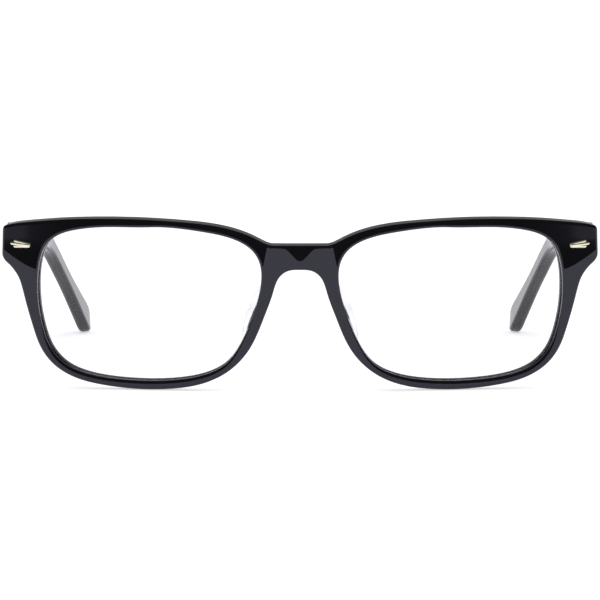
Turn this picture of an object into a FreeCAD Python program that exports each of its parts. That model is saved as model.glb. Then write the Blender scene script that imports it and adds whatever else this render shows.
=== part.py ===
import FreeCAD, Part
import math
import os

# Full-rim acetate eyeglasses frame, size 53-18-140, standing as it would on a table:
# the bottoms of the two rims and the two temple tips touch Z = 0, +Z is up, the front
# looks along -Y and the wearer's side is +Y.  The wearer's left is at +X.
# All lengths are in millimetres and all angles in degrees.

V = FreeCAD.Vector

# ---------------------------------------------------------------- driving dimensions

BASE_RADIUS = 255.0          # outer radius that the front is bent to, axis upright
THICKNESS = 4.0              # acetate sheet of the front
RIM_LENGTH = 140.0           # edges longer than this run around a lens opening
CUTTER_HEIGHT = 80.0         # of the cylinders that trim to the bent sheet
CUTTER_PLANES = (-10.0, 30.0)    # depths between which the outlines are cut through the sheet
LEAN = 7.6                   # top of the front leans forward by this much

BRIDGE_TOP = 13.5            # flat top of the bridge, above the datum line of the front
OUTER_EDGE_ROUND = 0.65      # tumbled rounding of the outer edges
LENS_EDGE_ROUND = 0.6        # tumbled rounding of the lens openings

GROOVE_DEPTH = 0.55          # groove for the lens, into the rim
GROOVE_WIDTH = 1.4
GROOVE_PLACE = 1.9           # middle of the groove, behind the front face
LENS_THICKNESS = 1.3
LENS_CLEARANCE = 0.05        # between the edge of the lens and the bottom of the groove
LENS_BEVEL = 0.3

PAD_LENGTH = 16.6            # nose pad along the rim
PAD_DEPTH = 5.8              # nose pad, rearwards from the rim
PAD_THICKNESS = 2.4
PAD_PLACE = (9.8, -3.6)       # middle of its bonded face on the flat pattern
PAD_INSET = 0.3              # the bonded face cuts the pad this far from its middle
PAD_LEG_ANGLE = 22.0         # slope of the nasal leg of the rim from the vertical
PAD_FLARE = 24.0             # the pad flares away from the nose towards the rear

RIB_RADIUS = 0.42            # trim plaque: three round ribs
RIB_LENGTH = 3.3
MIDDLE_RIB_EXTRA = 0.75
RIB_SPREAD_OUTER = 0.62
RIB_SPREAD_INNER = 0.23
RIB_SINK = 0.12              # the two side ribs lie this much deeper than the middle one
PLAQUE_TILT = 4.0
PLAQUE_PLACE = (65.9, 12.1)  # middle of the ribs on the flat pattern
PIN_RADIUS = 0.35
PIN_LENGTH = 2.0
PIN_SPACING = 2.2

AXIS_PLACE = (64.9, 11.6, 6.0)   # hinge axis: flat position, height, depth behind the face
BARREL_RADIUS = 1.25
BARREL_LENGTH = 1.3
BARREL_GAP = 0.05
BARREL_COUNT = 5
SCREW_RADIUS = 0.65
SCREW_CLEARANCE = 0.03
SCREW_HEAD_RADIUS = 1.05
SCREW_HEAD_HEIGHT = 0.5
SLOT_WIDTH = 0.3
SLOT_DEPTH = 0.28
FRONT_PLATE = (3.8, 8.2, 0.8)    # width, height, thickness of the plate in the end piece
TEMPLE_PLATE = (9.0, 5.4, 0.9)   # length, height, thickness of the plate on the temple
PLATE_RECESS = 0.45
NECK_WIDTH = 1.8
NECK_REACH = 4.0
PLATE_OFFSET = 0.2           # the front plate sits this much nearer the nose than the axis
TEMPLE_PLATE_FRONT = 0.7     # the temple plate reaches this far in front of the axis

TEMPLE_LENGTH = 139.0        # from the hinge axis along the temple to its tip
TEMPLE_INNER = 2.4           # inner face of the temple, outwards from the hinge axis
TEMPLE_THICKNESS = 3.8       # at the hinge
TIP_THICKNESS = 3.2
TEMPLE_HEIGHT = 9.0          # at the hinge
MIDDLE_HEIGHT = 4.7
PADDLE_HEIGHT = 7.4          # near the tip
TEMPLE_NARROWS = (5.0, 60.0) # where the height begins to fall, and over what length
TEMPLE_THINS = (12.0, 100.0) # the same for the thickness
TEMPLE_WIDENS = (107.0, 31.0)    # the same for the paddle at the tip
TEMPLE_EDGE_ROUND = 0.6
TIP_EDGE_ROUND = 0.9
TEMPLE_SPANS = 20            # equal spans between the lofted sections
TEMPLE_BLANK_START = -4.0    # the blank starts in front of the axis and is trimmed to the end piece
PATH_STEP = 0.5              # step along the temple's line when its bend is worked out
TEMPLE_SLOPE = 4.0           # the straight part falls towards the rear
TEMPLE_YAW = 1.3             # and runs inwards
BEND_START = 68.0            # where the ear bend begins, along the temple
BEND_LENGTH = 28.0
BEND_DROP = 24.06            # further fall after the ear bend
TIP_YAW = 7.6                # further inward turn after the ear bend
TIP_ROLL = 7.8               # the lower edge of the tip turns in
TIP_ROUND = 4.7              # length over which the tip rounds off
TIP_SECTIONS = (24, 44, 62, 76, 85)  # angles around that rounding where the loft has sections
TIP_FLATTENS = 0.4           # the thickness shrinks by this power of the height's share
FULL_ROUND_SHARE = 0.45      # edges round no further than this share of the section
BUTT_GAP = 0.08              # between the temple and the end piece when open

CORE_RADIUS = 0.7            # reinforcing wire in the temple
CORE_CLEARANCE = 0.03
CORE_START = 11.0
CORE_END_MARGIN = 12.0


# ---------------------------------------------------------------- flat pattern helpers

def bent_point(s, h, w):
    """Point at flat position (s, h), w behind the front face, after the sheet is bent."""
    angle = s / BASE_RADIUS
    radius = BASE_RADIUS - w
    return V(radius * math.sin(angle), BASE_RADIUS - radius * math.cos(angle), h)


def flattened(points):
    """Flat positions moved to the plane that touches the front at its middle."""
    return [V(BASE_RADIUS * math.tan(s / BASE_RADIUS), 0, h) for s, h in points]


def spline(points, start=None, end=None, closed=False):
    curve = Part.BSplineCurve()
    if closed:
        curve.interpolate(Points=points, PeriodicFlag=True)
    elif start is None:
        curve.interpolate(Points=points)
    else:
        curve.interpolate(Points=points, InitialTangent=start.normalize(),
                          FinalTangent=end.normalize(), Scale=False)
    return curve


def base_cylinder(w):
    """Everything behind depth w of the bent sheet."""
    return Part.makeCylinder(BASE_RADIUS - w, CUTTER_HEIGHT, V(0, BASE_RADIUS, -CUTTER_HEIGHT / 2))


def through_sheet(wire):
    """Solid whose sides follow the wire and stand square to the bent sheet."""
    sections = []
    for place in CUTTER_PLANES:
        squeeze = FreeCAD.Matrix()
        squeeze.scale(1 - place / BASE_RADIUS, 1, 1)
        section = wire.transformGeometry(squeeze)
        section.translate(V(0, place, 0))
        sections.append(section)
    return Part.makeLoft(sections, True, True)


def mirrored(shape):
    return shape.mirror(V(0, 0, 0), V(1, 0, 0))


# ---------------------------------------------------------------- outlines of the front

# Lens opening of the rim at +X, from the middle of its top towards the temple.
OPENING = [(35.0, 17.34), (45.4, 17.04), (53.1, 16.03), (57.5, 14.45), (60.3, 11.9),
           (61.9, 7.8), (62.45, 2.4), (62.2, -2.7), (61.1, -8.3), (59.1, -13.05),
           (55.8, -16.3), (50.3, -18.43), (42.6, -19.4), (35.0, -19.52), (27.1, -18.8),
           (21.3, -17.25), (17.2, -14.75), (14.2, -10.6), (11.6, -4.95), (9.8, 0.8),
           (9.05, 5.6), (9.55, 9.6), (11.4, 12.45), (15.2, 14.75), (22.7, 16.5)]

# Brow line, from the corner of the bridge to the corner of the end piece.
BROW = [(6.2, BRIDGE_TOP), (7.9, 13.88), (9.85, 14.84), (13.6, 16.46), (19.3, 17.9),
        (28.8, 18.84), (38.4, 19.16), (48.1, 18.96), (58.0, 18.25), (64.0, 17.52),
        (69.5, 16.57)]
CORNER = [(69.5, 16.57), (70.45, 16.12), (70.78, 15.22)]
END_SIDE = [(70.78, 15.22), (71.0, 9.75)]

# Lower edge, from the end piece down the rim and up the nose to the middle of the bridge.
LOWER = [(71.0, 9.75), (70.5, 8.15), (69.27, 6.98), (68.24, 5.88), (67.05, 4.1),
         (66.3, 2.0), (65.4, -1.5), (63.5, -8.1), (62.05, -12.0), (59.5, -15.7),
         (53.8, -19.3), (46.3, -20.95), (38.6, -21.55), (31.0, -21.32), (23.4, -20.0),
         (17.7, -17.4), (12.1, -11.8), (8.3, -3.5), (6.3, 2.1), (4.9, 5.75),
         (2.9, 7.35), (0.0, 7.68)]


def outer_wire():
    """Closed outline of the front: the half at +X and its mirror image."""
    half = [
        Part.LineSegment(*flattened([(0, BRIDGE_TOP), BROW[0]])),
        spline(flattened(BROW), V(1, 0, 0), V(1, 0, -0.24)),
        spline(flattened(CORNER), V(1, 0, -0.24), V(0.04, 0, -1)),
        Part.LineSegment(*flattened(END_SIDE)),
        spline(flattened(LOWER), V(0.04, 0, -1), V(-1, 0, 0)),
    ]
    edges = [curve.toShape() for curve in half]
    edges += [mirrored(edge) for edge in edges]
    return Part.Wire(Part.__sortEdges__(edges))


def rim_positions(offset, count=56):
    """Flat positions around the lens opening, offset outwards into the rim."""
    curve = spline(flattened(OPENING), closed=True)
    positions = []
    for i in range(count):
        u = curve.LastParameter * i / count
        p = curve.value(u)
        tangent = curve.tangent(u)[0]
        s = BASE_RADIUS * math.atan(p.x / BASE_RADIUS)
        positions.append((s - tangent.z * offset, p.z + tangent.x * offset))
    return positions


def through_opening(offset):
    """Solid that fills the lens opening right through the sheet, grown by the offset."""
    return through_sheet(Part.Wire(spline(flattened(rim_positions(offset)), closed=True).toShape()))


def layer(offset, w, thickness):
    """The lens opening grown by the offset, as a bent slice that starts at depth w."""
    return through_opening(offset).common(base_cylinder(w)).cut(base_cylinder(w + thickness))


# ---------------------------------------------------------------- the front

def on_sheet_face(edge):
    """True if the edge lies on the front or the rear face of the bent sheet."""
    for w in (0, THICKNESS):
        gaps = []
        for share in (0.0, 0.37, 0.71, 1.0):
            span = edge.LastParameter - edge.FirstParameter
            p = edge.valueAt(edge.FirstParameter + span * share)
            gaps.append(abs(math.hypot(p.x, p.y - BASE_RADIUS) - (BASE_RADIUS - w)))
        if max(gaps) < 0.001:
            return True
    return False


def front_shell():
    """The bent and tumbled sheet with its two lens openings, before grooves and pockets."""
    plate = through_sheet(outer_wire()).common(base_cylinder(0)).cut(base_cylinder(THICKNESS))
    opening = through_opening(0)
    plate = plate.cut(opening).cut(mirrored(opening)).Solids[0]
    outer = [e for e in plate.Edges if on_sheet_face(e) and e.Length < RIM_LENGTH]
    plate = plate.makeFillet(OUTER_EDGE_ROUND, outer)
    inner = [e for e in plate.Edges if on_sheet_face(e) and e.Length > RIM_LENGTH]
    return plate.makeFillet(LENS_EDGE_ROUND, inner)


def lens():
    """Clear demonstration lens with a bevelled edge that sits in the groove."""
    blank = layer(GROOVE_DEPTH - LENS_CLEARANCE, GROOVE_PLACE - LENS_THICKNESS / 2, LENS_THICKNESS)
    blank = blank.Solids[0]
    return blank.makeChamfer(LENS_BEVEL, [e for e in blank.Edges if e.Length > RIM_LENGTH])


def nose_pad():
    """Clear pad bonded to the rear of the nasal leg of the rim."""
    size = FreeCAD.Matrix()
    size.scale(PAD_THICKNESS / 2, PAD_DEPTH, PAD_LENGTH / 2)
    pad = Part.makeSphere(1.0).transformGeometry(size)
    leg = FreeCAD.Rotation(V(0, 1, 0), -PAD_LEG_ANGLE)
    flare = FreeCAD.Rotation(V(0, 0, 1), -PAD_FLARE)
    place = bent_point(PAD_PLACE[0], PAD_PLACE[1], THICKNESS - PAD_INSET)
    pad.Placement = FreeCAD.Placement(place, leg.multiply(flare))
    return pad.common(base_cylinder(THICKNESS)).Solids[0]


def sheet_placement(s, h, w, turn=0.0):
    """Placement on the bent sheet: x along it outwards, y into it, z up, turned about y."""
    bend = FreeCAD.Rotation(V(0, 0, 1), math.degrees(s / BASE_RADIUS))
    return FreeCAD.Placement(bent_point(s, h, w), bend.multiply(FreeCAD.Rotation(V(0, 1, 0), turn)))


def rib(start, end):
    """Round rod with domed ends."""
    axis = end - start
    rod = Part.makeCylinder(RIB_RADIUS, axis.Length, start, axis)
    return rod.fuse([Part.makeSphere(RIB_RADIUS, start), Part.makeSphere(RIB_RADIUS, end)])


def front_plaque():
    """Trim on the end piece: three ribs that fan outwards, and two pins into the acetate."""
    half = RIB_LENGTH / 2
    pieces = []
    for side in (-1, 0, 1):
        middle = side == 0
        reach = half + (MIDDLE_RIB_EXTRA if middle else 0)
        sink = 0.0 if middle else RIB_SINK
        start = V(-half, sink, side * RIB_SPREAD_INNER)
        end = V(reach, sink, side * RIB_SPREAD_OUTER)
        pieces.append(rib(start, end))
    for place in (-PIN_SPACING / 2, PIN_SPACING / 2):
        pieces.append(Part.makeCylinder(PIN_RADIUS, PIN_LENGTH, V(place, 0, 0), V(0, 1, 0)))
    plaque = pieces[0].fuse(pieces[1:]).removeSplitter()
    plaque.Placement = sheet_placement(PLAQUE_PLACE[0], PLAQUE_PLACE[1], 0, -PLAQUE_TILT)
    return plaque


# ---------------------------------------------------------------- hinge

def barrel(index, hole_radius):
    """One knuckle of the hinge, counted from the bottom, without its neck."""
    bottom = barrel_bottom(index)
    tube = Part.makeCylinder(BARREL_RADIUS, BARREL_LENGTH, V(0, 0, bottom))
    hole = Part.makeCylinder(hole_radius, BARREL_LENGTH, V(0, 0, bottom))
    return tube, hole


def barrel_bottom(index):
    stack = BARREL_COUNT * BARREL_LENGTH + (BARREL_COUNT - 1) * BARREL_GAP
    return index * (BARREL_LENGTH + BARREL_GAP) - stack / 2


def front_hinge():
    """Plate let into the rear of the end piece, with the outer and middle knuckles."""
    width, height, depth = FRONT_PLATE
    plate = Part.makeBox(width, depth, height, V(-width / 2, -depth, -height / 2))
    plate.Placement = LEANING.multiply(sheet_placement(AXIS_PLACE[0] - PLATE_OFFSET,
                                                       AXIS_PLACE[1], THICKNESS))
    parts = []
    holes = []
    for index in range(0, BARREL_COUNT, 2):
        tube, hole = barrel(index, SCREW_RADIUS)
        neck = Part.makeBox(NECK_WIDTH, NECK_REACH, BARREL_LENGTH,
                            V(-NECK_WIDTH / 2, -NECK_REACH, barrel_bottom(index)))
        parts.append(placed(tube.fuse(neck), HINGE))
        holes.append(placed(hole, HINGE))
    behind = placed(base_cylinder(THICKNESS - depth / 2), LEANING)
    knuckles = parts[0].fuse(parts[1:]).common(behind)
    return plate.fuse(knuckles).cut(holes[0].fuse(holes[1:])).removeSplitter(), plate


def temple_hinge_plate():
    length, height, depth = TEMPLE_PLATE
    return Part.makeBox(depth, length, height,
                        V(TEMPLE_INNER + PLATE_RECESS - depth, -TEMPLE_PLATE_FRONT, -height / 2))


def temple_hinge():
    """Plate let into the inner face of the temple, with the two knuckles between."""
    plate = temple_hinge_plate()
    pieces = []
    holes = []
    for index in range(1, BARREL_COUNT, 2):
        tube, hole = barrel(index, SCREW_RADIUS + SCREW_CLEARANCE)
        neck = Part.makeBox(TEMPLE_INNER, 2 * TEMPLE_PLATE_FRONT, BARREL_LENGTH,
                            V(0, -TEMPLE_PLATE_FRONT, barrel_bottom(index)))
        pieces.append(tube.fuse(neck))
        holes.append(hole)
    leaf = plate.fuse(pieces).cut(holes[0].fuse(holes[1:])).removeSplitter()
    return placed(leaf, HINGE)


def hinge_screw():
    """Slotted screw through all knuckles, its domed head on top."""
    top = -barrel_bottom(0)
    shank = Part.makeCylinder(SCREW_RADIUS, 2 * top, V(0, 0, -top))
    head = Part.makeCylinder(SCREW_HEAD_RADIUS, SCREW_HEAD_HEIGHT, V(0, 0, top))
    rim = [e for e in head.Edges if e.BoundBox.ZMin > top + SCREW_HEAD_HEIGHT / 2]
    head = head.makeFillet(SCREW_HEAD_HEIGHT / 2, [e for e in rim if len(e.Vertexes) == 1])
    slot = Part.makeBox(SLOT_WIDTH, 3 * SCREW_HEAD_RADIUS, SLOT_DEPTH,
                        V(-SLOT_WIDTH / 2, -1.5 * SCREW_HEAD_RADIUS,
                          top + SCREW_HEAD_HEIGHT - SLOT_DEPTH))
    return placed(shank.fuse(head).removeSplitter().cut(slot), HINGE)


# ---------------------------------------------------------------- temple

def ease(a, start, length):
    """Smooth step from 0 to 1 over the given stretch of the temple."""
    t = min(max((a - start) / length, 0.0), 1.0)
    return t * t * (3 - 2 * t)


def temple_station(a):
    """Placement of the temple's cross-section at distance a behind the hinge axis."""
    x = TEMPLE_INNER + TEMPLE_THICKNESS / 2
    y = min(a, 0.0)
    z = 0.0
    travelled = 0.0
    while travelled < a:
        piece = min(PATH_STEP, a - travelled)
        bend = ease(travelled + piece / 2, BEND_START, BEND_LENGTH)
        drop = math.radians(BEND_DROP * bend)
        turn = math.radians(TIP_YAW * bend)
        x -= piece * math.sin(turn) * math.cos(drop)
        y += piece * math.cos(turn) * math.cos(drop)
        z -= piece * math.sin(drop)
        travelled += piece
    bend = ease(a, BEND_START, BEND_LENGTH)
    rotation = FreeCAD.Rotation(V(0, 0, 1), TIP_YAW * bend)
    rotation = rotation.multiply(FreeCAD.Rotation(V(1, 0, 0), -BEND_DROP * bend))
    rotation = rotation.multiply(FreeCAD.Rotation(V(0, 1, 0), TIP_ROLL * bend))
    return FreeCAD.Placement(V(x, y, z), rotation)


def rounded_rectangle(width, height, radius):
    """Closed section in the x-z plane: four sides and four corner arcs."""
    edges = []
    for quarter in range(4):
        turn = math.radians(90 * quarter)
        swap = quarter % 2 == 1
        half_u = (height if swap else width) / 2
        half_v = (width if swap else height) / 2
        axis_u = V(math.cos(turn), 0, math.sin(turn))
        axis_v = V(-math.sin(turn), 0, math.cos(turn))
        side_start = axis_u * half_u - axis_v * (half_v - radius)
        side_end = axis_u * half_u + axis_v * (half_v - radius)
        centre = axis_u * (half_u - radius) + axis_v * (half_v - radius)
        arc_middle = centre + (axis_u + axis_v) * (radius / math.sqrt(2))
        arc_end = centre + axis_v * radius
        edges.append(Part.LineSegment(side_start, side_end).toShape())
        edges.append(Part.Arc(side_end, arc_middle, arc_end).toShape())
    return Part.Wire(edges)


def temple_section(a, height_share=1.0):
    narrow = ease(a, *TEMPLE_NARROWS)
    paddle = ease(a, *TEMPLE_WIDENS)
    height = TEMPLE_HEIGHT + (MIDDLE_HEIGHT - TEMPLE_HEIGHT) * narrow
    height = (height + (PADDLE_HEIGHT - MIDDLE_HEIGHT) * paddle) * height_share
    thickness = TEMPLE_THICKNESS + (TIP_THICKNESS - TEMPLE_THICKNESS) * ease(a, *TEMPLE_THINS)
    thickness *= height_share ** TIP_FLATTENS
    radius = TEMPLE_EDGE_ROUND + (TIP_EDGE_ROUND - TEMPLE_EDGE_ROUND) * narrow
    radius = min(radius, FULL_ROUND_SHARE * min(thickness, height))
    wire = rounded_rectangle(thickness, height, radius)
    wire.Placement = temple_station(a)
    return wire


def temple():
    """Acetate side arm, butted against the end piece and turned down behind the ear."""
    body_end = TEMPLE_LENGTH - TIP_ROUND
    span = (body_end - TEMPLE_BLANK_START) / TEMPLE_SPANS
    stations = [TEMPLE_BLANK_START + span * i for i in range(TEMPLE_SPANS + 1)]
    sections = [temple_section(a) for a in stations]
    for degrees in TIP_SECTIONS:
        angle = math.radians(degrees)
        sections.append(temple_section(body_end + TIP_ROUND * math.sin(angle), math.cos(angle)))
    blank = placed(Part.makeLoft(sections, True, False, False, 3), HINGE)
    behind = placed(base_cylinder(THICKNESS + BUTT_GAP), LEANING)
    plate = placed(temple_hinge_plate(), HINGE)
    return blank.common(behind).cut(plate).cut(core_wire(CORE_CLEARANCE)).Solids[0]


def core_wire(clearance=0.0):
    """Reinforcing wire inside the temple, or the space around it."""
    start = CORE_START - clearance
    end = TEMPLE_LENGTH - CORE_END_MARGIN + clearance
    circles = []
    for i in range(TEMPLE_SPANS + 1):
        place = temple_station(start + (end - start) * i / TEMPLE_SPANS)
        circle = Part.Wire(Part.Circle(V(0, 0, 0), V(0, 1, 0), CORE_RADIUS + clearance).toShape())
        circle.Placement = place
        circles.append(circle)
    return placed(Part.makeLoft(circles, True, False, False, 3), HINGE)


# ---------------------------------------------------------------- assembly

def placed(shape, placement):
    moved = shape.copy()
    moved.Placement = placement.multiply(moved.Placement)
    return moved


LEANING = FreeCAD.Placement(V(0, 0, 0), FreeCAD.Rotation(V(1, 0, 0), LEAN))
HINGE = FreeCAD.Placement(
    LEANING.multVec(bent_point(*AXIS_PLACE)),
    FreeCAD.Rotation(V(0, 0, 1), TEMPLE_YAW).multiply(FreeCAD.Rotation(V(1, 0, 0), -TEMPLE_SLOPE)))


def left_pieces():
    """The pieces of the wearer's left side, which is at +X."""
    hinge_leaf, hinge_plate = front_hinge()
    plaque = front_plaque()
    pieces = {
        "lens_left": placed(lens(), LEANING),
        "nose_pad_left": placed(nose_pad(), LEANING),
        "front_plaque_left": placed(plaque, LEANING),
        "front_hinge_left": hinge_leaf,
        "temple_hinge_left": temple_hinge(),
        "hinge_screw_left": hinge_screw(),
        "temple_left": temple(),
        "core_wire_left": core_wire(),
    }
    return pieces, hinge_plate


def assemble():
    left, hinge_plate = left_pieces()
    pieces = dict(left)
    for name, shape in left.items():
        pieces[name.replace("left", "right")] = mirrored(shape)
    front = front_shell()
    groove = layer(GROOVE_DEPTH, GROOVE_PLACE - GROOVE_WIDTH / 2, GROOVE_WIDTH)
    front = placed(front.cut(groove).cut(mirrored(groove)), LEANING)
    for cutter in (hinge_plate, left["front_plaque_left"]):
        front = front.cut(cutter).cut(mirrored(cutter))
    pieces["front_frame"] = front
    return pieces


def standing(pieces):
    """Shift that puts the middle of the bounding box's bottom at the origin."""
    corners = []
    for shape in pieces.values():
        corners += shape.tessellate(0.02)[0]
    depth = [p.y for p in corners]
    return V(0, -(min(depth) + max(depth)) / 2, -min(p.z for p in corners))


def main():
    os.makedirs("parts", exist_ok=True)
    pieces = assemble()
    shift = standing(pieces)
    for name, shape in pieces.items():
        moved = shape.copy()
        moved.translate(shift)
        moved.exportStep("parts/" + name + ".step")
    axis_point = HINGE.Base + shift
    axis = HINGE.Rotation.multVec(V(0, 0, 1))
    print("hinge axis of the left temple: point", axis_point, "direction", axis)


main()
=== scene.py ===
import math

import bpy
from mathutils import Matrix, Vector


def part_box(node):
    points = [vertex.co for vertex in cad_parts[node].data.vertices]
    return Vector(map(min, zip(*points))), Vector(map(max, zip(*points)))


# Looks of a black acetate eyeglasses frame that stands on a white table, seen from the front.
# Lengths are in metres.  The front looks along -Y, +Z is up, the wearer's left is +X.

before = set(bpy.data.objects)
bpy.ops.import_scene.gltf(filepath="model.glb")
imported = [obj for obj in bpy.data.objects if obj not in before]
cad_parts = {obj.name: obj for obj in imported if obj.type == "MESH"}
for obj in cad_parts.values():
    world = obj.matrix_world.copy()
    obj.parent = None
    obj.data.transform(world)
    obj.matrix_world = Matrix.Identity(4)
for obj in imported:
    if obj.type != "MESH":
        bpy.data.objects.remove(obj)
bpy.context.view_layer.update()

MM = 0.001
FRONT_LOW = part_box("front_frame")[0]

# ---------------------------------------------------------------- camera

CAMERA_DISTANCE = 1.0
CAMERA_ELEVATION = 5.4           # degrees above the table
CAMERA_VIEW_ANGLE = 8.003        # degrees across the picture
CAMERA_CLIP = (0.01, 200.0)
TARGET_BEHIND_FRONT = 2.5 * MM   # the camera's target, from the foremost point of the front
TARGET_HEIGHT = 21.05 * MM
AIM_ABOVE_TARGET = 0.6 * MM      # the picture's middle is this much higher

# ---------------------------------------------------------------- table, surroundings and lamps

TABLE_SIZE = 60.0
TABLE_GREY = (0.84, 0.85)        # its reflectance wanders between these
TABLE_CLOUD = 0.4                # size of a lighter or darker patch
TABLE_ROUGHNESS = 0.9
TABLE_GLOW = 0.57                # the table is a light table: its own radiance

SKY = 0.75                       # radiance of the pale surroundings near the horizon
SKY_COLOUR = (0.985, 0.99, 1.0, 1)
SKY_FALL = 0.6                   # share of it missing higher up
SKY_FALL_SPAN = (0.03, 0.32)     # sines of the elevations over which it falls
DARK_ROOM = 0.74                 # share of that light missing over the table and behind the camera
DARK_SPAN = (0.0, 0.10)          # the dark sets in over this rise above a slanted edge ...
DARK_SLANT = 0.75                # ... which climbs from the horizon towards the rear ...
SIDE_SLANT = 0.05                # ... and a little towards the sides

LAMPS = [                        # name, where it shines from, how wide it is in degrees, strength
    ("overhead", (0.1, 0.2, 1.0), 120.0, 1.3),
    ("front_fill", (-0.3, -1.0, 0.7), 100.0, 0.7),
    ("rear_fill", (0.3, 1.0, 0.6), 100.0, 0.7),
]

# ---------------------------------------------------------------- relief of the polished front

FACET_TILT = 0.34                # how far the dark facets lean back, as a slope
FACET_EDGE = 0.35 * MM           # softness of a facet's edge
BROW_HEIGHT = 29.4 * MM          # the brow facet lies above this line ...
END_DROP = 1.3 * MM              # ... which is this much lower at the end pieces
END_DROP_SPAN = (40 * MM, 55 * MM)
END_START = 61.7 * MM            # ... and climbs along each end piece in a curve
END_CURVE = 0.284 * MM           # its climb one millimetre past the start
END_POWER = 1.35
END_GLOW = 0.38                  # share of the lean missing near the top of the end pieces
END_GLOW_SIDES = (52 * MM, 66 * MM)
END_GLOW_HEIGHTS = (32 * MM, 36 * MM)
FLANK_EDGE = 7.5 * MM            # the plain flank of the bridge ends here, at the top ...
FLANK_TOP = 34.0 * MM
FLANK_SLOPE = 0.2                # ... and widens downwards
SADDLE_HEIGHT = 30.7 * MM        # lowest point of the facet in the middle of the bridge
SADDLE_RISE = 3.45 * MM
SADDLE_WIDTH = 2.6 * MM
FACING_SPAN = (0.90, 0.96)       # only the front face has facets, not its rounded edges

# ---------------------------------------------------------------- black acetate

ACETATE_COLOURS = ((0.0022, 0.0024, 0.0028, 1), (0.0046, 0.0048, 0.0056, 1))
ACETATE_TINT = (0.79, 0.78, 1.0, 1)          # colour of its reflections
ACETATE_ROUGHNESS = (0.035, 0.10)
ACETATE_IOR = 1.49
MOTTLE_SIZE = 9 * MM
HAZE_SIZE = 1.1 * MM             # the fine haze that buffing leaves
HAZE_DEPTH = 0.0012 * MM
WAVE_SIZE = 6 * MM               # the slight waviness of a tumbled surface
WAVE_DEPTH = 0.02 * MM
FRONT_GLOSS = 0.56
TEMPLE_GLOSS = 0.13              # the temples reflect less than the front

# ---------------------------------------------------------------- lenses and nose pads

LENS_TINT = (0.965, 0.965, 0.99, 1)
LENS_IOR = 1.5
LENS_ROUGHNESS = (0.0, 0.05)
SMUDGE_SIZE = 14 * MM
EDGE_COLOUR = (0.80, 0.82, 0.84, 1)
EDGE_ROUGHNESS = (0.35, 0.6)     # the lens's edge is ground
EDGE_CLEARNESS = 0.5
EDGE_GRAIN_SIZE = 0.25 * MM
EDGE_GRAIN_DEPTH = 0.01 * MM
LENS_FACE_SPAN = (0.78, 0.86)    # how squarely a surface faces front or rear to be the lens's face

PAD_COLOUR = (0.97, 0.975, 0.985, 1)
PAD_SHADOW = (0.95, 0.955, 0.97, 1)          # light that passes through a pad to the table
PAD_ROUGHNESS = (0.03, 0.12)
PAD_IOR = 1.47
PAD_HAZE_SIZE = 0.6 * MM
PAD_WAVE_SIZE = 3 * MM
PAD_WAVE_DEPTH = 0.02 * MM

# ---------------------------------------------------------------- metals

TARNISH_SIZE = 2.5 * MM
METAL_GRAIN_DEPTH = 0.004 * MM


# ---------------------------------------------------------------- node helpers

def node(tree, kind, values=None, **settings):
    """Adds a node; values maps an input's name or index to a constant or an output socket."""
    made = tree.nodes.new(kind)
    for name, setting in settings.items():
        setattr(made, name, setting)
    for name, value in (values or {}).items():
        if isinstance(value, bpy.types.NodeSocket):
            tree.links.new(value, made.inputs[name])
        else:
            made.inputs[name].default_value = value
    return made


def maths(tree, operation, *values):
    return node(tree, "ShaderNodeMath", dict(enumerate(values)), operation=operation).outputs[0]


def step(tree, value, start, end):
    """0 below start, 1 above end, smooth between them."""
    inputs = {0: value, 1: start, 2: end}
    return node(tree, "ShaderNodeMapRange", inputs, interpolation_type="SMOOTHSTEP").outputs[0]


def remap(tree, value, low, high):
    """Takes a value from 0..1 to low..high."""
    inputs = {0: value, 3: low, 4: high}
    return node(tree, "ShaderNodeMapRange", inputs).outputs[0]


def noise(tree, place, size, detail=3.0, roughness=0.5):
    """Noise from 0 to 1 whose features measure about size."""
    inputs = {"Vector": place, "Scale": 1 / size, "Detail": detail, "Roughness": roughness}
    return node(tree, "ShaderNodeTexNoise", inputs).outputs[0]


def bump(tree, height, distance, normal=None):
    inputs = {"Strength": 1.0, "Distance": distance, "Height": height}
    if normal is not None:
        inputs["Normal"] = normal
    return node(tree, "ShaderNodeBump", inputs).outputs[0]


def surface_normal(tree):
    return node(tree, "ShaderNodeNewGeometry").outputs["Normal"]


def split(tree, vector):
    """The X, Y and Z outputs of a vector."""
    return node(tree, "ShaderNodeSeparateXYZ", {0: vector}).outputs


def mix_colours(tree, factor, first, second):
    inputs = {"Factor": factor, 6: first, 7: second}
    return node(tree, "ShaderNodeMix", inputs, data_type="RGBA").outputs[2]


def mix_shaders(tree, factor, first, second):
    return node(tree, "ShaderNodeMixShader", {0: factor, 1: first, 2: second}).outputs[0]


def principled(tree, inputs):
    return node(tree, "ShaderNodeBsdfPrincipled", inputs).outputs[0]


def blank_material(name):
    material = bpy.data.materials.new(name)
    material.use_nodes = True
    material.node_tree.nodes.clear()
    tree = material.node_tree
    place = node(tree, "ShaderNodeTexCoord").outputs["Object"]
    return material, tree, place


def finish_material(tree, shader):
    node(tree, "ShaderNodeOutputMaterial", {"Surface": shader})


# ---------------------------------------------------------------- facets of the front

def beyond(tree, value, line):
    """0 before a line and 1 past it, over the softness of a facet's edge."""
    return step(tree, maths(tree, "SUBTRACT", value, line), 0.0, FACET_EDGE)


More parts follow.
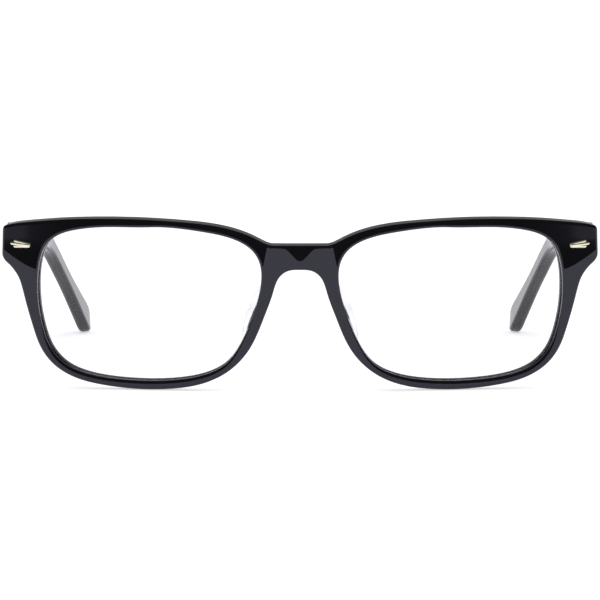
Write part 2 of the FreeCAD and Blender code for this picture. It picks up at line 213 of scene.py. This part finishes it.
def brow_facet(tree, side, height):
    """1 on the brow and the end pieces, outside the plain flanks of the bridge."""
    out_along_end = maths(tree, "MAXIMUM", maths(tree, "SUBTRACT", side, END_START), 0.0)
    climb = maths(tree, "POWER", maths(tree, "DIVIDE", out_along_end, MM), END_POWER)
    drop = step(tree, side, *END_DROP_SPAN)
    low_line = maths(tree, "MULTIPLY_ADD", drop, -END_DROP, BROW_HEIGHT)
    brow_line = maths(tree, "MULTIPLY_ADD", climb, END_CURVE, low_line)
    over_flank_top = maths(tree, "SUBTRACT", height, FLANK_TOP)
    flank_line = maths(tree, "MULTIPLY_ADD", over_flank_top, -FLANK_SLOPE, FLANK_EDGE)
    above_brow = beyond(tree, height, brow_line)
    past_flank = beyond(tree, side, flank_line)
    return maths(tree, "MULTIPLY", above_brow, past_flank)


def saddle_facet(tree, side, height):
    """1 in the middle of the bridge, above a line with a rounded dip."""
    across = maths(tree, "POWER", maths(tree, "DIVIDE", side, SADDLE_WIDTH), 2.0)
    bell = maths(tree, "EXPONENT", maths(tree, "MULTIPLY", across, -1.0))
    saddle_line = maths(tree, "MULTIPLY_ADD", bell, -SADDLE_RISE, SADDLE_HEIGHT + SADDLE_RISE)
    return beyond(tree, height, saddle_line)


def facet_normal(tree, place):
    """Surface normal, leaned back where the brow, end pieces and bridge are polished in facets."""
    xyz = split(tree, place)
    side = maths(tree, "ABSOLUTE", xyz["X"])
    height = xyz["Z"]
    brow = brow_facet(tree, side, height)
    saddle = saddle_facet(tree, side, height)
    facets = maths(tree, "MAXIMUM", brow, saddle)
    normal = surface_normal(tree)
    forward = maths(tree, "MULTIPLY", split(tree, normal)["Y"], -1.0)
    facing = step(tree, forward, *FACING_SPAN)
    far_out = step(tree, side, *END_GLOW_SIDES)
    high_up = step(tree, height, *END_GLOW_HEIGHTS)
    glow = maths(tree, "MULTIPLY", far_out, high_up)
    tilt = maths(tree, "MULTIPLY_ADD", glow, -END_GLOW * FACET_TILT, FACET_TILT)
    lean = maths(tree, "MULTIPLY", maths(tree, "MULTIPLY", facets, facing), tilt)
    up = node(tree, "ShaderNodeCombineXYZ", {"Z": lean}).outputs[0]
    tilted = node(tree, "ShaderNodeVectorMath", {0: normal, 1: up}, operation="ADD").outputs[0]
    return node(tree, "ShaderNodeVectorMath", {0: tilted}, operation="NORMALIZE").outputs[0]


# ---------------------------------------------------------------- materials

def black_acetate(name, faceted, gloss):
    """Tumbled and buffed black cellulose acetate."""
    material, tree, place = blank_material(name)
    mottle = noise(tree, place, MOTTLE_SIZE, detail=2.0)
    haze = noise(tree, place, HAZE_SIZE, detail=4.0, roughness=0.65)
    wave = noise(tree, place, WAVE_SIZE, detail=1.0)
    normal = facet_normal(tree, place) if faceted else None
    waved = bump(tree, wave, WAVE_DEPTH, normal)
    shader = principled(tree, {
        "Base Color": mix_colours(tree, mottle, *ACETATE_COLOURS),
        "Roughness": remap(tree, haze, *ACETATE_ROUGHNESS),
        "IOR": ACETATE_IOR,
        "Specular IOR Level": gloss,
        "Specular Tint": ACETATE_TINT,
        "Normal": bump(tree, haze, HAZE_DEPTH, waved)})
    finish_material(tree, shader)
    return material


def lens_face(tree, place):
    """Thin clear wall: what lies behind it, under the reflection of its outer surface."""
    smudge = noise(tree, place, SMUDGE_SIZE, detail=3.0)
    rough = remap(tree, smudge, *LENS_ROUGHNESS)
    fresnel = node(tree, "ShaderNodeFresnel", {"IOR": LENS_IOR}).outputs[0]
    inside = node(tree, "ShaderNodeNewGeometry").outputs["Backfacing"]
    mirror = maths(tree, "MULTIPLY", fresnel, maths(tree, "SUBTRACT", 1.0, inside))
    through = node(tree, "ShaderNodeBsdfTransparent", {"Color": LENS_TINT}).outputs[0]
    gloss = node(tree, "ShaderNodeBsdfAnisotropic", {"Roughness": rough}).outputs[0]
    return mix_shaders(tree, mirror, through, gloss)


def lens_edge(tree, place):
    """Ground and half clear."""
    grain = noise(tree, place, EDGE_GRAIN_SIZE)
    return principled(tree, {
        "Base Color": EDGE_COLOUR,
        "Roughness": remap(tree, grain, *EDGE_ROUGHNESS),
        "Transmission Weight": EDGE_CLEARNESS,
        "IOR": LENS_IOR,
        "Normal": bump(tree, grain, EDGE_GRAIN_DEPTH)})


def clear_lens(name):
    """Clear demonstration lens with a ground edge."""
    material, tree, place = blank_material(name)
    squareness = maths(tree, "ABSOLUTE", split(tree, surface_normal(tree))["Y"])
    on_face = step(tree, squareness, *LENS_FACE_SPAN)
    shader = mix_shaders(tree, on_face, lens_edge(tree, place), lens_face(tree, place))
    finish_material(tree, shader)
    return material


def clear_acetate(name):
    """Crystal acetate of the nose pads, which lets light through to the table."""
    material, tree, place = blank_material(name)
    wave = noise(tree, place, PAD_WAVE_SIZE, detail=2.0)
    haze = noise(tree, place, PAD_HAZE_SIZE)
    glass = principled(tree, {
        "Base Color": PAD_COLOUR,
        "Roughness": remap(tree, haze, *PAD_ROUGHNESS),
        "Transmission Weight": 1.0,
        "IOR": PAD_IOR,
        "Normal": bump(tree, wave, PAD_WAVE_DEPTH)})
    clear = node(tree, "ShaderNodeBsdfTransparent", {"Color": PAD_SHADOW}).outputs[0]
    shadow = node(tree, "ShaderNodeLightPath").outputs["Is Shadow Ray"]
    finish_material(tree, mix_shaders(tree, shadow, glass, clear))
    return material


def metal(name, dark, light, roughness, grain_size, fineness=(1, 1, 1)):
    """Polished or brushed metal: the grain is fine across the brushing and long along it."""
    material, tree, place = blank_material(name)
    mapped = node(tree, "ShaderNodeMapping", {"Vector": place, "Scale": fineness}).outputs[0]
    grain = noise(tree, mapped, grain_size, detail=4.0, roughness=0.6)
    tarnish = noise(tree, place, TARNISH_SIZE, detail=2.0)
    shader = principled(tree, {
        "Base Color": mix_colours(tree, tarnish, dark, light),
        "Metallic": 1.0,
        "Roughness": remap(tree, grain, *roughness),
        "Normal": bump(tree, grain, METAL_GRAIN_DEPTH)})
    finish_material(tree, shader)
    return material


def all_looks():
    """One material for each kind of node."""
    hinge_metal = metal("nickel_silver", dark=(0.48, 0.46, 0.43, 1), light=(0.66, 0.64, 0.60, 1),
                        roughness=(0.22, 0.42), grain_size=0.5 * MM, fineness=(1, 1, 6))
    return {
        "front_frame": black_acetate("polished_front", True, FRONT_GLOSS),
        "temple": black_acetate("polished_temple", False, TEMPLE_GLOSS),
        "lens": clear_lens("lens_plastic"),
        "nose_pad": clear_acetate("crystal_acetate"),
        "front_plaque": metal("champagne_plating", dark=(0.78, 0.72, 0.56, 1),
                              light=(0.90, 0.85, 0.69, 1), roughness=(0.24, 0.40),
                              grain_size=0.35 * MM),
        "front_hinge": hinge_metal,
        "temple_hinge": hinge_metal,
        "hinge_screw": metal("screw_steel", dark=(0.66, 0.66, 0.68, 1),
                             light=(0.84, 0.84, 0.85, 1), roughness=(0.12, 0.26),
                             grain_size=0.3 * MM),
        "core_wire": metal("drawn_wire", dark=(0.58, 0.56, 0.54, 1),
                           light=(0.78, 0.76, 0.73, 1), roughness=(0.2, 0.4),
                           grain_size=0.4 * MM, fineness=(4, 0.3, 4)),
    }


def paint():
    """Gives every node of the frame its material."""
    looks = all_looks()
    for name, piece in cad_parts.items():
        kind = name.replace("_left", "").replace("_right", "")
        for slot in piece.material_slots:
            slot.material = looks[kind]


# ---------------------------------------------------------------- table, light and camera

def table():
    """Plain white table."""
    bpy.ops.mesh.primitive_plane_add(size=TABLE_SIZE, location=(0, 0, 0))
    top = bpy.context.object
    top.name = "table"
    material, tree, place = blank_material("white_table")
    cloud = noise(tree, place, TABLE_CLOUD, detail=1.0)
    level = remap(tree, cloud, *TABLE_GREY)
    grey = node(tree, "ShaderNodeCombineXYZ", {0: level, 1: level, 2: level}).outputs[0]
    shader = principled(tree, {
        "Base Color": grey,
        "Roughness": TABLE_ROUGHNESS,
        "Specular IOR Level": 0.0,
        "Emission Color": (1, 1, 1, 1),
        "Emission Strength": TABLE_GLOW})
    finish_material(tree, shader)
    top.data.materials.append(material)


def surroundings():
    """Pale light near the horizon and behind the table; darker over it and behind the camera."""
    world = bpy.data.worlds.new("studio")
    bpy.context.scene.world = world
    world.use_nodes = True
    tree = world.node_tree
    tree.nodes.clear()
    direction = node(tree, "ShaderNodeTexCoord").outputs["Generated"]
    xyz = split(tree, direction)
    rearward = maths(tree, "MAXIMUM", xyz["Y"], 0.0)
    sideward = maths(tree, "ABSOLUTE", xyz["X"])
    side_rise = maths(tree, "MULTIPLY", sideward, SIDE_SLANT)
    edge = maths(tree, "MULTIPLY_ADD", rearward, DARK_SLANT, side_rise)
    over_edge = maths(tree, "SUBTRACT", xyz["Z"], edge)
    room = step(tree, over_edge, *DARK_SPAN)
    unshaded = maths(tree, "MULTIPLY_ADD", room, -DARK_ROOM, 1.0)
    higher = step(tree, xyz["Z"], *SKY_FALL_SPAN)
    sky = maths(tree, "MULTIPLY_ADD", higher, -SKY_FALL * SKY, SKY)
    strength = maths(tree, "MULTIPLY", unshaded, sky)
    background = node(tree, "ShaderNodeBackground", {"Color": SKY_COLOUR, "Strength": strength})
    node(tree, "ShaderNodeOutputWorld", {"Surface": background.outputs[0]})


def wide_light(name, origin, spread, strength):
    """Very soft light from one side, the same all over the table and not mirrored in the frame."""
    lamp = bpy.data.lights.new(name, "SUN")
    lamp.angle = math.radians(spread)
    lamp.energy = strength
    holder = bpy.data.objects.new(name, lamp)
    bpy.context.scene.collection.objects.link(holder)
    holder.rotation_euler = (-Vector(origin)).to_track_quat("-Z", "Y").to_euler()
    holder.visible_glossy = False


def studio_camera():
    tilt = math.radians(CAMERA_ELEVATION)
    target = Vector((0, FRONT_LOW.y + TARGET_BEHIND_FRONT, TARGET_HEIGHT))
    place = target + CAMERA_DISTANCE * Vector((0, -math.cos(tilt), math.sin(tilt)))
    aim = target + Vector((0, 0, AIM_ABOVE_TARGET))
    data = bpy.data.cameras.new("studio_camera")
    data.sensor_fit = "HORIZONTAL"
    data.angle = math.radians(CAMERA_VIEW_ANGLE)
    data.clip_start, data.clip_end = CAMERA_CLIP
    holder = bpy.data.objects.new("studio_camera", data)
    bpy.context.scene.collection.objects.link(holder)
    holder.location = place
    holder.rotation_euler = (aim - place).to_track_quat("-Z", "Y").to_euler()
    bpy.context.scene.camera = holder


bpy.context.scene.view_settings.view_transform = "Standard"
studio_camera()
paint()
table()
surroundings()
for name, origin, spread, strength in LAMPS:
    wide_light(name, origin, spread, strength)
